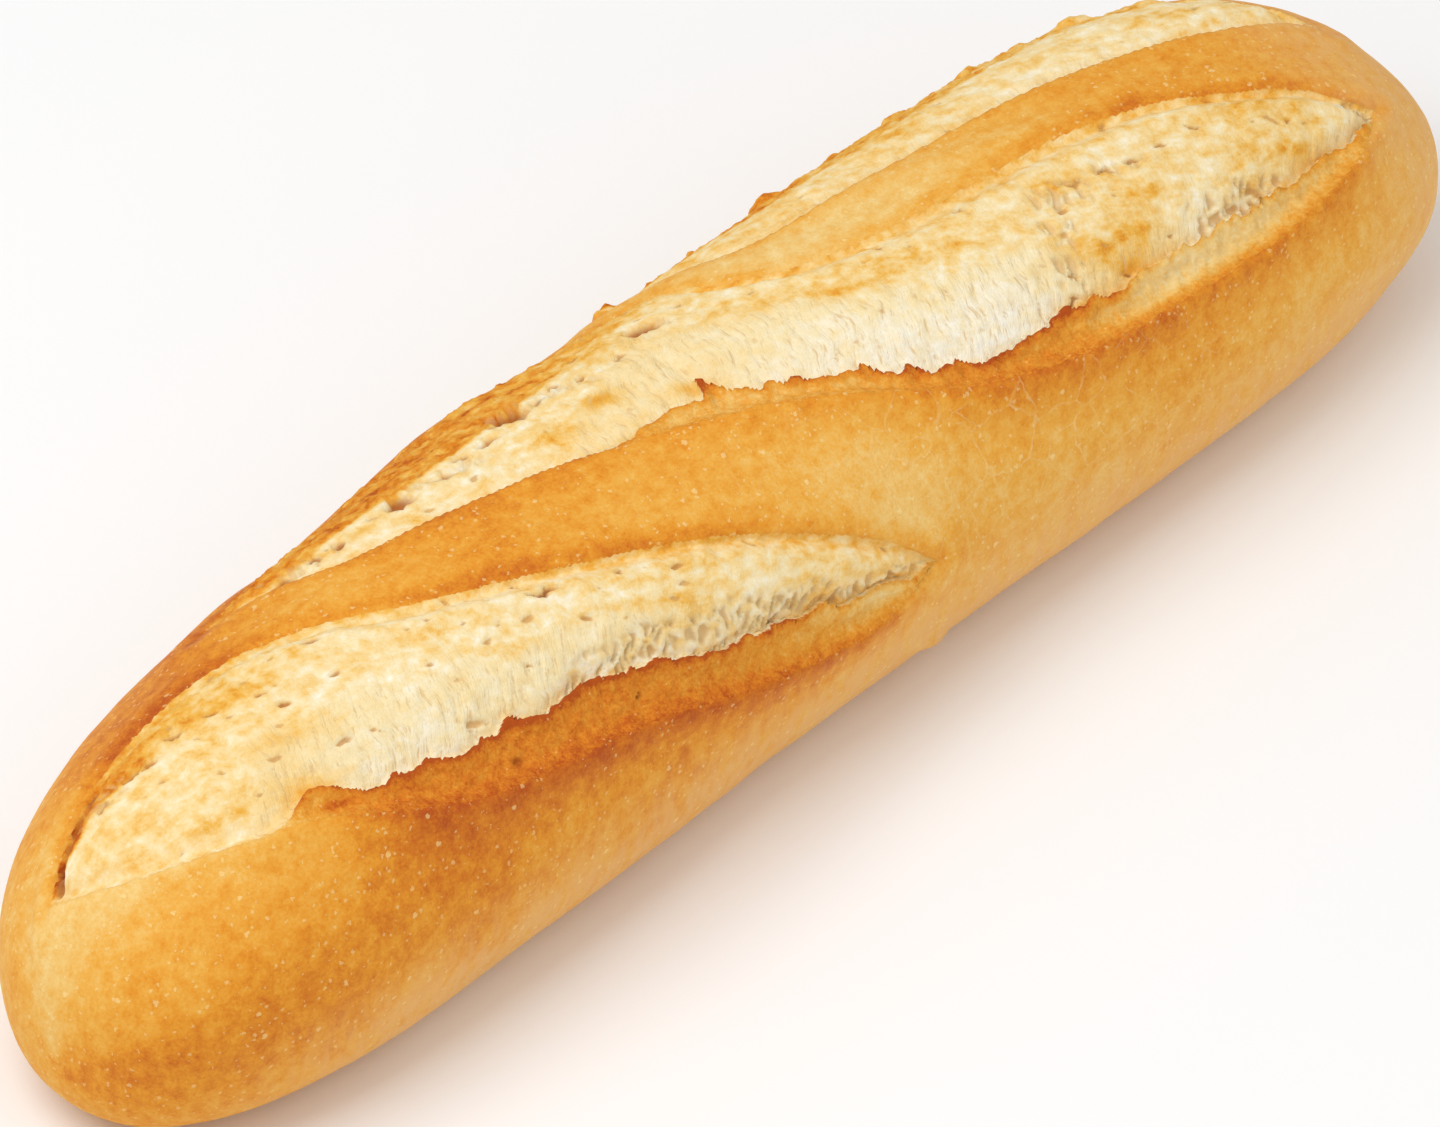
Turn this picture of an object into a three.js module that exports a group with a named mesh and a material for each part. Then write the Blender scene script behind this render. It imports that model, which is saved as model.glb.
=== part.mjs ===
// A short baguette with three long slashes, lying on its flat sole.
// Millimetres. X runs along the loaf, Z is up, and the origin is under the middle of the loaf, on the surface
// that it rests on. The loaf is baked as one piece, so it is one closed solid.

import * as THREE from 'three';
import { mergeVertices } from 'three/addons/utils/BufferGeometryUtils.js';

// The loaf
const LENGTH = 293.5;
const WIDTH = 70;
const HEIGHT = 53;
const WAIST = 0.42; // height of the widest line, as a share of HEIGHT
const TIP = 0.28; // height of both tips, as a share of HEIGHT
const BELLY = 1.22; // depth of the lower curve below the waist, as a share of WAIST: above 1 it leaves a flat sole
const UPPER_POWER = 2.2; // roundness of the section above the waist, 2 being an ellipse
const LOWER_POWER = 2.3; // roundness of the section below the waist
const BOW = -5.4; // how far the ends lie to one side of the middle
const BOW_CENTRE = 0.33; // share of the bow that the middle takes back

// The two ends, which narrow in plan and in height by (1 - |station|^reach)^(1 / roundness)
const LEFT_END = { reach: 5.2, planRoundness: 2.35, heightRoundness: 2.9 };
const RIGHT_END = { reach: 6.15, planRoundness: 2.18, heightRoundness: 1.9 };

// The slashes: where the crust opened, the crumb lies a little lower, and the cut edge stands up as an ear
const CRUMB_DEPTH = 3.2;
const CRUMB_CROWN = 2.6;
const EDGE_RUN = 5; // distance from a slash's edge to its full depth
const EAR_HEIGHT = 2.4;
const EAR_WIDTH = 4.5;
const EAR_FADE = 16; // length over which an ear rises at its ends
const MM_PER_DEGREE = 0.58; // length of one degree around the crown of the loaf

// Facets
const RINGS = 96;
const SIDES = 46;
const TIP_CROWDING = 0.7; // 0 spaces the rings evenly, 1 crowds them at the tips
const CROWN_CROWDING = 0.45; // how much closer the sides are over the crown than under the sole

// Each line is a list of [distance along the loaf, degrees from the crown], positive degrees being towards -Y.
const SLASH_LINES = [
  {
    upper: [[-139, -22], [-114, -27], [-90, -17], [-56, 11], [-25, 33], [-2, 56], [12, 80]],
    lower: [[-139, -22], [-130, 8], [-102, 32], [-70, 45], [-37, 60], [-9, 73], [12, 80]],
    ear: [[-118, 26], [-90, 50], [-60, 63], [-19, 84], [12, 84]],
  },
  {
    upper: [[-90, -40], [-70, -50], [-40, -54], [-15, -50], [9, -39], [27, -11], [54, -2], [91, 5], [127, 44]],
    lower: [[-90, -40], [-67, -19], [-26, 0], [8, 15], [37, 41], [79, 46], [116, 50], [127, 44]],
    ear: [[-26, 4], [4, 23], [33, 48], [52, 57], [73, 62], [98, 61], [114, 55], [125, 44]],
  },
  {
    upper: [[0, -72], [30, -68], [60, -62], [100, -52], [125, -28], [134, 0]],
    lower: [[0, -72], [25, -30], [56, -21], [94, -12], [119, -2], [134, 0]],
    ear: [[6, -76], [30, -71], [60, -64], [95, -56], [118, -38], [133, -4]],
  },
];

// A smooth line through the points, as a function of the distance along the loaf.
function lineThrough(points) {
  const line = new THREE.CubicInterpolant(points.map((p) => p[0]), points.map((p) => p[1]), 1);
  return (x) => line.evaluate(x)[0];
}

function makeSlash({ upper, lower, ear }) {
  const earStart = ear[0][0];
  const earEnd = ear[ear.length - 1][0];
  return { upper: lineThrough(upper), lower: lineThrough(lower), ear: lineThrough(ear), earStart, earEnd };
}

const slashes = SLASH_LINES.map(makeSlash);

// How far one slash moves the surface outwards at a distance along the loaf and an angle from its crown.
function slashRelief(slash, x, degrees) {
  const belowUpper = (degrees - slash.upper(x)) * MM_PER_DEGREE;
  const aboveLower = (slash.lower(x) - degrees) * MM_PER_DEGREE;
  const fromEar = (degrees - slash.ear(x)) * MM_PER_DEGREE;
  const opened = THREE.MathUtils.smoothstep(Math.min(belowUpper, aboveLower), 0, EDGE_RUN);
  const across = THREE.MathUtils.clamp(belowUpper / Math.max(belowUpper + aboveLower, EDGE_RUN), 0, 1);
  const crumb = opened * (CRUMB_CROWN * Math.sin(Math.PI * across) - CRUMB_DEPTH);
  const rise = THREE.MathUtils.smoothstep(x, slash.earStart, slash.earStart + EAR_FADE);
  const fall = THREE.MathUtils.smoothstep(x, slash.earEnd - EAR_FADE, slash.earEnd);
  const ear = EAR_HEIGHT * rise * (1 - fall) * Math.exp(-((fromEar / EAR_WIDTH) ** 2));
  return crumb + ear * (1 - opened);
}

// A point of the loaf: station runs from -1 to 1 along it, and turn is the angle around it from +Y over the crown.
function loafPoint(station, turn, point) {
  const x = (station * LENGTH) / 2;
  const side = Math.cos(turn);
  const up = Math.sin(turn);
  const power = up > 0 ? UPPER_POWER : LOWER_POWER;
  const rise = up > 0 ? HEIGHT * (1 - WAIST) : HEIGHT * WAIST * BELLY;
  const across = Math.sign(side) * Math.abs(side) ** (2 / power) * (WIDTH / 2);
  const height = HEIGHT * WAIST + Math.sign(up) * Math.abs(up) ** (2 / power) * rise;

  const end = station < 0 ? LEFT_END : RIGHT_END;
  const left = Math.max(0, 1 - Math.abs(station) ** end.reach);
  const narrowing = left ** (1 / end.planRoundness);
  const lowering = left ** (1 / end.heightRoundness);

  const degrees = THREE.MathUtils.radToDeg(turn) - 90;
  const relief = narrowing * slashes.reduce((sum, slash) => sum + slashRelief(slash, x, degrees), 0);
  const y = across * narrowing + relief * side + BOW * (station ** 2 - BOW_CENTRE);
  const z = HEIGHT * TIP + (height - HEIGHT * TIP) * lowering + relief * Math.max(up, 0);
  return point.set(x, y, Math.max(z, 0));
}

// Bends an evenly divided sphere into the loaf: its poles become the tips, and its meridians the sides.
function makeLoaf() {
  const geometry = new THREE.SphereGeometry(1, SIDES, RINGS);
  const position = geometry.attributes.position;
  const uv = geometry.attributes.uv;
  const point = new THREE.Vector3();
  for (let i = 0; i < position.count; i += 1) {
    const pole = i <= SIDES || i >= position.count - SIDES - 1;
    const around = pole ? 0 : uv.getX(i);
    const even = 2 * uv.getY(i) - 1;
    const crowded = Math.sin((even * Math.PI) / 2);
    const station = THREE.MathUtils.lerp(even, crowded, TIP_CROWDING);
    const swing = (2 * around - 1) * Math.PI;
    const turn = Math.PI / 2 + swing - CROWN_CROWDING * Math.sin(swing);
    loafPoint(station, turn, point);
    position.setXYZ(i, point.x, point.y, point.z);
  }
  geometry.deleteAttribute('normal');
  geometry.deleteAttribute('uv');
  geometry.computeBoundingBox();
  const middle = geometry.boundingBox.getCenter(new THREE.Vector3());
  geometry.translate(-middle.x, -middle.y, 0);
  const closed = mergeVertices(geometry);
  closed.computeVertexNormals();
  return closed;
}

const crust = new THREE.MeshStandardMaterial({ color: 0xd08a38, roughness: 0.75, metalness: 0 });
const baguette = new THREE.Mesh(makeLoaf(), crust);
baguette.name = 'baguette';

const loaf = new THREE.Group();
loaf.add(baguette);

export default loaf;
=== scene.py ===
"""A short slashed baguette on a pale floor: baked crust, three torn slashes and a tray-baked sole."""

import math

import bmesh
import bpy
import numpy as np
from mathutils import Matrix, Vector


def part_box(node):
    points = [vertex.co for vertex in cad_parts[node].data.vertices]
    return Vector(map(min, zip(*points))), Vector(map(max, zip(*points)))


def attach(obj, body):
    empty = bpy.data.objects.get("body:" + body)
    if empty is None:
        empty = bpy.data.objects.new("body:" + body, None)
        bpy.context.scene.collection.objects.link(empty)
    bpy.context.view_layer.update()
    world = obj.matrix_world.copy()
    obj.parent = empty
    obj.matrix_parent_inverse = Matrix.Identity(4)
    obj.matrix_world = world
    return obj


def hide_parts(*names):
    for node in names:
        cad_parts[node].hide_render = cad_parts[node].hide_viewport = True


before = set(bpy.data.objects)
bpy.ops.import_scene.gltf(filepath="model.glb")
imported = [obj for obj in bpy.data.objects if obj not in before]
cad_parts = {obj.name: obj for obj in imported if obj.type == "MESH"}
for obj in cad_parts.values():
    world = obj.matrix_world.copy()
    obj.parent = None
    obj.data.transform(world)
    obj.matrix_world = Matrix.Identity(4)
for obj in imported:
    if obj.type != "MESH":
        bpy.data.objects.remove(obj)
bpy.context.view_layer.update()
loaf_low, loaf_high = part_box("baguette")

# ---------------------------------------------------------------- sizes
# The loaf is worked out in millimetres and turned into metres at the end.
MM = 0.001
LENGTH = (loaf_high.x - loaf_low.x) / MM
HALF = LENGTH / 2
WIDTH = 0.2385 * LENGTH
HEIGHT = 0.1806 * LENGTH
WAIST = 0.42  # height of the widest line, as a share of HEIGHT
TIP = 0.28  # height of both tips, as a share of HEIGHT
BELLY = 1.22  # depth of the lower curve below the waist: above 1 it leaves a flat sole
UPPER_POWER = 2.2
LOWER_POWER = 2.3
BOW = -0.0184 * LENGTH  # how far the ends lie to one side of the middle
BOW_CENTRE = 0.33
LEFT_END = (5.2, 2.35, 2.9)  # reach, roundness in plan, roundness in height
RIGHT_END = (6.15, 2.18, 1.9)

DRAWN_HALF = 146.75  # half length of the loaf that the distances below are set out on
ARC = 0.58  # millimetres along the skin for one degree around the crown
CUT_LEAN = 20  # degrees between the slashes and the loaf's length, on the unrolled skin
SKIN_STEP = 1.75  # side of the skin's widest faces, halved and halved again towards the slashes
REFINED = (4.5, 0.9)  # how far from a slash the skin is halved, once and twice

# ---------------------------------------------------------------- the slashes
# Places are (distance along the loaf, degrees from the crown), with positive degrees towards -Y, and each
# line runs from the left tip of its slash to the right one. Brownness runs from 0, pale, to 1, deep brown.
#   upper: the far edge of the opening
#   rim: the near side of the crumb that toasted along the upper line
#   torn: where the crumb ends
#   ear: the cut edge that stands up beyond the torn line, with a baked shelf between them
#   shelf: the distances between which that shelf sets in
#   rim_bake, shelf_bake, ear_bake: (distance, brownness) along the rim, the shelf and the ear
#   teeth: (distance, reach, width) of the bites that the shelf takes out of the crumb
#   ragged, rough_far: how uneven the torn line and the upper line are
#   far_bumps: (distance, height, width) of the crisp points along the upper line
#   fibres, cells: (distance, width) of the bands of torn strands and of open cells along the torn line
SLASHES = (
    {
        "upper": ((-139, -22), (-130, -26), (-114, -27), (-96, -22), (-83, -12), (-70, 0), (-48, 16),
                  (-25, 33), (-10, 48), (2, 63), (12, 80)),
        "rim": ((-139, -22), (-134, -18), (-126, -16), (-120, -14), (-113, -12), (-106, -11),
                (-99, -10), (-90, -8), (-80, -3), (-70, 5), (-48, 18), (-25, 34), (-10, 49), (2, 64),
                (12, 80)),
        "torn": ((-139, -22), (-137, -8), (-130, 8), (-117, 23), (-102, 32), (-86, 40), (-70, 45),
                 (-52, 50), (-37, 60), (-17, 70), (4, 79), (12, 80)),
        "ear": ((-139, -22), (-137, -8), (-130, 8), (-117, 23), (-108, 30), (-96, 43), (-83, 54),
                (-68, 60), (-50, 66), (-30, 77), (-8, 85), (4, 84), (12, 80)),
        "shelf": (-114, -92),
        "rim_bake": ((-139, 0.95), (-124, 0.8), (-114, 0.62), (-100, 0.45), (-80, 0.32), (-60, 0.3),
                     (12, 0.3)),
        "shelf_bake": ((-118, 0.48), (-104, 0.58), (-94, 0.78), (-60, 0.78), (-45, 0.76), (-30, 0.68),
                       (-18, 0.6), (12, 0.3)),
        "ear_bake": ((-139, 0.12), (-124, 0.2), (-112, 0.4), (-105, 0.62), (-94, 0.9), (-60, 0.94),
                     (-25, 0.88), (0, 0.76), (12, 0.55)),
        "teeth": ((-104, 4.2, 10), (-92, 1.0, 3), (-86, 1.8, 4), (-71, 1.6, 4), (-55, 1.6, 4),
                  (-44, 1.0, 3), (-27, 1.1, 3), (-12, 0.8, 2.5)),
        "ragged": 0.85,
        "rough_far": 0.2,
        "far_bumps": (),
        "fibres": ((-118, 0), (-104, 12), (-89, 15), (-66, 11), (-46, 9), (-20, 6), (10, 2)),
        "cells": ((-64, 0), (-54, 5), (-40, 6.5), (-25, 7), (-5, 4), (6, 3), (12, 0)),
    },
    {
        "upper": ((-90, -40), (-70, -49), (-40, -55), (-15, -50), (9, -39), (17, -22), (27, -11),
                  (44, -4), (74, 0), (91, 5), (107, 16), (115, 23), (120, 31), (125, 40)),
        "rim": ((-90, -40), (-70, -32), (-60, -30), (-50, -28), (-40, -27), (-30, -26), (-20, -27),
                (-10, -29), (0, -30), (9, -31), (17, -20), (27, -10), (44, -3), (74, 1), (91, 6),
                (107, 17), (115, 24), (120, 32), (125, 40)),
        "torn": ((-90, -40), (-79, -33), (-67, -19), (-50, -11), (-26, 0), (-10, 2), (1, 9), (15, 22),
                 (29, 36), (37, 41), (54, 44), (79, 46), (102, 47), (114, 46), (121, 43), (125, 40)),
        "ear": ((-90, -40), (-79, -33), (-67, -19), (-50, -11), (-26, 0), (-11, 9), (4, 20), (18, 33),
                (33, 46), (52, 54), (73, 57), (90, 58), (104, 55), (114, 51), (121, 45), (125, 40)),
        "shelf": (-24, 8),
        "rim_bake": ((-90, 0.7), (-60, 0.76), (-30, 0.76), (-10, 0.62), (8, 0.54), (20, 0.36),
                     (125, 0.34)),
        "shelf_bake": ((-26, 0.36), (0, 0.46), (15, 0.54), (27, 0.66), (35, 0.7), (50, 0.68),
                       (60, 0.42), (72, 0.18), (95, 0.3), (115, 0.46), (125, 0.45)),
        "ear_bake": ((-90, 0.64), (-60, 0.76), (-40, 0.78), (-26, 0.68), (-8, 0.6), (0, 0.58),
                     (15, 0.62), (35, 0.8), (50, 0.78), (80, 0.74), (105, 0.64), (118, 0.58),
                     (125, 0.48)),
        "teeth": ((-3, 3.6, 2.8), (8, 0.8, 2), (18, 1.2, 2), (24, 1.4, 2), (31, 1.2, 2.5), (44, 1.0, 3),
                  (52, 2.2, 5), (58, 1.4, 3), (67, 1.2, 3)),
        "ragged": 0.85,
        "rough_far": 0.2,
        "far_bumps": ((-66, 0.5, 6), (-50, 0.6, 6), (-36, 0.5, 6), (-22, 0.7, 6)),
        "fibres": ((-30, 0), (-20, 8), (-4, 14), (11, 12), (41, 15), (56, 12), (64, 5), (80, 5),
                   (100, 4)),
        "cells": ((78, 0), (84, 4), (92, 5), (100, 3), (104, 0)),
    },
    {
        "upper": ((6, -54), (20, -57), (40, -56), (60, -55), (80, -54), (95, -51), (108, -43),
                  (118, -32), (126, -18), (133, 1)),
        "rim": ((6, -54), (20, -46), (40, -41), (60, -38), (80, -37), (95, -36), (108, -31), (118, -23),
                (126, -13), (133, 1)),
        "torn": ((6, -54), (15, -42), (25, -29), (40, -24), (56, -21), (75, -18), (94, -12), (110, -6),
                 (124, -2), (133, 1)),
        "ear": ((6, -54), (15, -42), (25, -29), (40, -24), (56, -21), (75, -18), (94, -12), (110, -6),
                (124, -2), (133, 1)),
        "shelf": (140, 150),
        "rim_bake": ((6, 0.76), (40, 0.72), (75, 0.6), (110, 0.52), (133, 0.46)),
        "shelf_bake": ((6, 0.5), (133, 0.5)),
        "ear_bake": ((6, 0.5), (133, 0.5)),
        "teeth": (),
        "ragged": 0.2,
        "rough_far": 0.9,
        "far_bumps": ((8, 1.6, 7), (18, 0.9, 6), (27, 1.2, 6), (35, 0.7, 5), (43, 1.6, 7), (51, 0.8, 5),
                      (58, 1.0, 6), (64, 0.6, 5), (71, 1.2, 7), (79, 0.9, 6), (87, 1.5, 8),
                      (95, 0.8, 5), (104, 1.6, 8), (115, 1.0, 6), (121, 0.6, 4), (129, 0.5, 4)),
        "fibres": ((0, 0), (40, 3), (100, 3), (130, 0)),
        "cells": ((0, 0), (130, 0)),
    },
)

# Larger pores and pits: distance, degrees, length, width, depth, brownness inside.
PORES = (
    (-134, -21, 7.0, 1.5, 1.6, 1.0), (-128, -24, 7.0, 1.4, 1.6, 1.0), (-125, -16, 3.8, 1.0, 1.0, 0.5),
    (-119, -15, 5.0, 1.3, 1.5, 0.4), (-116, -12, 3.4, 2.0, 1.7, 0.5), (-110, -13, 4.6, 1.2, 1.2, 0.5),
    (-104, -9, 3.6, 0.9, 0.8, 0.5), (-96, 1, 3.2, 1.3, 1.3, 0.7), (-97, -4, 2.2, 1.0, 1.0, 0.8),
    (-87, 4, 2.8, 1.2, 1.1, 0.5), (-84, -5, 3.8, 1.3, 1.1, 0.6), (-76, 36, 5.0, 1.8, 1.0, 0.0),
    (-94, 18, 4.0, 1.6, 0.7, 0.3), (-104, 10, 3.0, 1.3, 0.6, 0.2), (-52, 21, 6.0, 1.7, 2.1, 0.9),
    (-32, 37, 3.4, 1.3, 1.1, 0.3), (-40, 28, 2.2, 1.2, 1.1, 0.5), (-50, 33, 2.0, 1.6, 1.4, 0.3),
    (-58, 24, 3.4, 1.2, 0.8, 0.1), (-54, 14, 1.8, 0.9, 0.9, 1.0), (-62, 20, 2.0, 0.9, 0.7, 0.2),
    (-70, 8, 1.6, 0.8, 0.7, 0.4), (-66, 22, 2.6, 1.0, 0.7, 0.2), (-75, 17, 2.2, 0.9, 0.6, 0.3),
    (-73, 52, 3.0, 1.5, 1.0, 1.0), (-49, 59, 1.8, 1.0, 0.8, 1.0), (-63, 33, 1.6, 0.9, 0.7, 0.2),
    (-66, 14, 1.4, 0.8, 0.6, 0.4), (-110, 14, 1.8, 0.9, 0.5, 0.2), (-90, 22, 2.4, 1.0, 0.6, 0.2),
    (-26, -26, 7.0, 5.6, 3.4, 1.0), (-10, -30, 3.2, 1.2, 1.2, 1.0), (1, -23, 6.6, 4.6, 2.8, 1.0),
    (-43, -23, 4.6, 1.8, 2.2, 0.8), (-33, -23, 5.2, 2.2, 2.0, 0.6), (-38, -24, 4.0, 1.5, 1.6, 0.5),
    (-21, -24, 3.4, 1.2, 1.3, 0.6), (-17, -25, 2.6, 1.2, 1.4, 0.7), (-51, -26, 6.0, 4.4, 2.8, 1.0),
    (-56, -27, 2.6, 1.0, 1.2, 0.8), (-63, -28, 2.6, 1.2, 1.3, 0.9), (-68, -30, 3.2, 1.2, 1.2, 0.9),
    (-74, -33, 4.0, 1.5, 1.4, 0.9), (-80, -36, 3.0, 1.2, 1.2, 0.9), (-7, -19, 3.6, 1.2, 1.0, 0.3),
    (-14, -22, 2.4, 1.2, 1.6, 0.7), (-24, -50, 3.0, 2.4, 1.6, 1.0), (-35, -44, 3.2, 2.2, 1.6, 1.0),
    (-30, -48, 1.6, 1.1, 0.8, 0.9), (-46, -42, 1.8, 1.2, 0.8, 0.9), (8, -22, 2.4, 1.0, 1.2, 0.6),
    (52, 2, 2.6, 1.3, 1.2, 0.4), (35, -7, 2.4, 1.0, 0.9, 0.7), (37, -1, 1.8, 1.0, 0.9, 0.8),
    (18, -15, 1.6, 0.8, 0.7, 0.7), (26, -8, 1.8, 0.9, 0.8, 0.4), (69, 14, 4.0, 1.2, 1.3, 0.3),
    (64, 18, 2.4, 1.4, 1.2, 0.3), (60, 24, 2.0, 1.6, 1.0, 0.1), (57, 34, 2.6, 1.4, 1.2, 0.2),
    (75, 16, 4.4, 1.2, 1.2, 0.4), (80, 17, 4.0, 0.9, 1.0, 0.4), (86, 18, 3.4, 0.8, 0.9, 0.4),
    (93, 19, 3.6, 0.8, 0.8, 0.4), (107, 30, 1.8, 0.9, 0.8, 0.5), (100, 13, 1.6, 1.4, 1.0, 1.0),
    (119, 35, 2.6, 1.4, 1.0, 0.1), (76, 39, 1.8, 1.1, 0.9, 0.2), (89, 43, 3.4, 1.8, 1.4, 0.1),
    (94, 42, 2.0, 1.4, 1.1, 0.1), (66, 42, 1.6, 1.0, 0.9, 0.7), (55, 40, 3.2, 1.2, 1.0, 0.5),
    (85, -47, 5.0, 1.6, 1.3, 0.9), (44, -45, 5.0, 1.4, 1.2, 1.0), (72, -36, 3.0, 1.0, 0.7, 0.5),
    (98, -34, 3.0, 1.0, 0.7, 0.5),
)

# Cracks in the crumb: start, end, width, depth.
CREVICES = (
    ((-137, -20), (-124, -25), 0.8, 1.4),
    ((117, 34), (123, 42), 0.4, 0.5),
)

# Patches of open cells away from the torn edges: distance, degrees, length, width, share.
CELL_PATCHES = (
    (66, 15, 13, 5, 0.9), (60, 23, 5, 8, 0.85), (57, 33, 6, 6, 0.9), (89, 41, 18, 6, 1.0),
    (120, 36, 6, 3, 0.7), (78, 17, 14, 2, 0.5), (-20, -24, 22, 3, 0.55), (-42, -23, 14, 3, 0.55),
    (-68, -30, 12, 3, 0.7), (2, -21, 8, 3, 0.6), (-122, -16, 16, 3, 0.6),
)

# Brownness of the crumb's surface before its edges are toasted: distance, degrees, value.
CRUMB_BAKE = (
    (-130, -10, 0.34), (-120, 5, 0.33), (-110, -5, 0.34), (-110, 5, 0.36), (-110, 18, 0.3),
    (-100, 10, 0.3), (-100, -8, 0.42), (-90, 0, 0.3), (-85, 15, 0.2), (-85, 28, 0.12), (-95, 24, 0.14),
    (-75, 5, 0.32), (-70, 25, 0.22), (-60, 12, 0.24), (-60, 35, 0.2), (-45, 25, 0.32), (-45, 45, 0.2),
    (-30, 40, 0.4), (-25, 58, 0.2), (-10, 55, 0.42), (0, 72, 0.36), (-80, -40, 0.42), (-60, -28, 0.32),
    (-40, -17, 0.26), (-20, -8, 0.27), (0, -10, 0.24), (0, -28, 0.4), (12, 10, 0.12), (15, -12, 0.32),
    (25, 20, 0.06), (30, 0, 0.36), (45, 32, 0.03), (45, 10, 0.3), (60, 8, 0.32), (58, 25, 0.3),
    (70, 36, 0.42), (72, 20, 0.3), (85, 12, 0.3), (85, 42, 0.12), (95, 30, 0.36), (105, 30, 0.5),
    (118, 38, 0.25), (30, -40, 0.4), (60, -33, 0.35), (95, -25, 0.25), (115, -12, 0.28),
    (128, -4, 0.32),
)

# Spots where the crumb toasted: distance, degrees, length, width, added brownness.
TOASTED = (
    (-114, -19, 22, 6, 0.25), (-100, -9, 18, 4, 0.22), (-73, 11, 26, 4, 0.16), (-99, 9, 16, 4, 0.14),
    (-62, 27, 16, 3, 0.16), (-41, 38, 18, 3.5, 0.18), (-127, -4, 12, 4, 0.12), (-88, 20, 18, 3, 0.1),
    (-30, 50, 16, 3, 0.12), (-116, 12, 14, 3, 0.12), (-104, 22, 11, 5, 0.3), (-26, -11, 10, 5, 0.3),
    (-16, -12, 8, 4, 0.38), (16, -6, 22, 3.5, 0.2), (28, 4, 18, 4, 0.22), (42, 8, 22, 4, 0.2),
    (62, 30, 9, 5, 0.26), (71, 33, 8, 5, 0.3), (67, 40, 8, 4, 0.28), (56, 43, 10, 2.5, 0.3),
    (66, 11, 12, 3, 0.26), (76, 26, 8, 5, 0.24), (88, 33, 18, 4, 0.14), (104, 38, 10, 4, 0.16),
    (-8, -27, 14, 5, 0.2), (88, -30, 22, 4, 0.18), (60, -36, 16, 5, 0.2), (110, -20, 14, 4, 0.2),
    (-4, 0, 8, 3, 0.3), (-14, 4, 16, 2, 0.3), (102, 20, 14, 3, 0.12),
)

# Spots where the torn edge and the shelf are browner: distance, degrees, length, width, added brownness.
SHELF_SPOTS = (
    (-3, 1, 4, 4, 0.5), (10, 17, 6, 2, 0.25), (20, 26, 6, 2, 0.25), (26, 33, 8, 2, 0.3),
    (35, 40, 6, 2, 0.25), (52, 41, 6, 3, 0.4), (60, 46, 6, 2, 0.2), (-103, 30, 8, 2, 0.3),
    (-86, 37, 6, 2, 0.2), (-71, 43, 8, 2, 0.3), (-55, 47, 8, 2, 0.25), (-30, 60, 10, 2, 0.2),
    (-4, 76, 20, 4, -0.3),
)

# Brownness of the crust: distance, degrees, value.
CRUST_BAKE = (
    (-145, 0, 0.5), (-143, -32, 0.44), (-139, -14, 0.0), (-142, -17, 0.1), (-143, -2, 0.3),
    (-143, 40, 0.52), (-138, 90, 0.68), (-140, 140, 0.5), (-130, 25, 0.38), (-122, 60, 0.66),
    (-115, 42, 0.46), (-118, 85, 0.74), (-115, -45, 0.54), (-105, -35, 0.76), (-96, -31, 0.82),
    (-90, -45, 0.66), (-112, -31, 0.86), (-120, -80, 0.4), (-128, -35, 0.52), (-100, 65, 0.78),
    (-85, 80, 0.7), (-60, 88, 0.52), (-60, 78, 0.64), (-100, 102, 0.34), (-70, 106, 0.3),
    (-122, 112, 0.42), (-30, 96, 0.34), (-25, 90, 0.42), (-40, 84, 0.6), (-80, -12, 0.18),
    (-86, -26, 0.62), (-75, -24, 0.52), (-65, -8, 0.56), (-50, 3, 0.62), (-40, -4, 0.6),
    (-30, 15, 0.42), (-22, 6, 0.56), (-10, 35, 0.42), (-30, 25, 0.52), (0, 30, 0.38), (10, 48, 0.2),
    (20, 44, 0.3), (-15, 20, 0.38), (30, 75, 0.36), (30, 60, 0.3), (10, 90, 0.34), (50, 80, 0.42),
    (80, 80, 0.44), (100, 80, 0.44), (70, 68, 0.46), (90, 100, 0.25), (50, 100, 0.28), (0, 105, 0.26),
    (125, 70, 0.34), (132, 25, 0.4), (140, 60, 0.36), (120, 92, 0.28), (145, 90, 0.3), (135, 0, 0.45),
    (138, -20, 0.4), (110, 5, 0.54), (100, 2, 0.54), (120, 12, 0.5), (85, -8, 0.46), (95, -3, 0.5),
    (70, -8, 0.4), (55, -12, 0.22), (65, -14, 0.32), (45, -8, 0.28), (40, -18, 0.12), (30, -20, 0.04),
    (20, -25, 0.15), (14, -33, 0.35), (0, -80, 0.42), (-60, -80, 0.46), (60, -80, 0.46),
    (100, -80, 0.42), (-20, -62, 0.6), (-45, -62, 0.62), (-70, -56, 0.62), (-100, 180, 0.56),
    (-50, 180, 0.6), (0, 180, 0.6), (50, 180, 0.6), (100, 180, 0.56), (-100, -180, 0.56),
    (-50, -180, 0.6), (0, -180, 0.6), (50, -180, 0.6), (100, -180, 0.56), (0, 140, 0.4),
    (-60, 140, 0.42), (60, 140, 0.4), (0, -140, 0.42), (-60, -140, 0.42), (60, -140, 0.42),
)

# Slow swellings of the whole skin: distance, degrees, length, width, height.
SWELLINGS = (
    (-29, -56, 34, 16, 2.0), (-64, -52, 22, 12, -1.0), (20, -62, 26, 14, -0.7), (-60, -6, 60, 9, 0.5),
    (60, -12, 60, 6, 0.6), (30, 100, 50, 20, 0.5), (-30, 104, 40, 18, -0.4), (-83, 112, 26, 14, -1.0),
    (115, 104, 34, 18, -1.2), (13, 113, 9, 3, 1.3), (-128, 60, 24, 24, 0.4), (-100, 60, 40, 6, -0.5),
    (40, 66, 60, 6, -0.5),
)


# ---------------------------------------------------------------- helpers
def smoothstep(low, high, value):
    share = np.clip((value - low) / (high - low), 0, 1)
    return share * share * (3 - 2 * share)


def mix(first, second, share):
    return first + (second - first) * share


def bell(value, width):
    """1 where value is nothing, falling to 0 over about twice the width."""
    return np.exp(-((value / width) ** 2))


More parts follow.
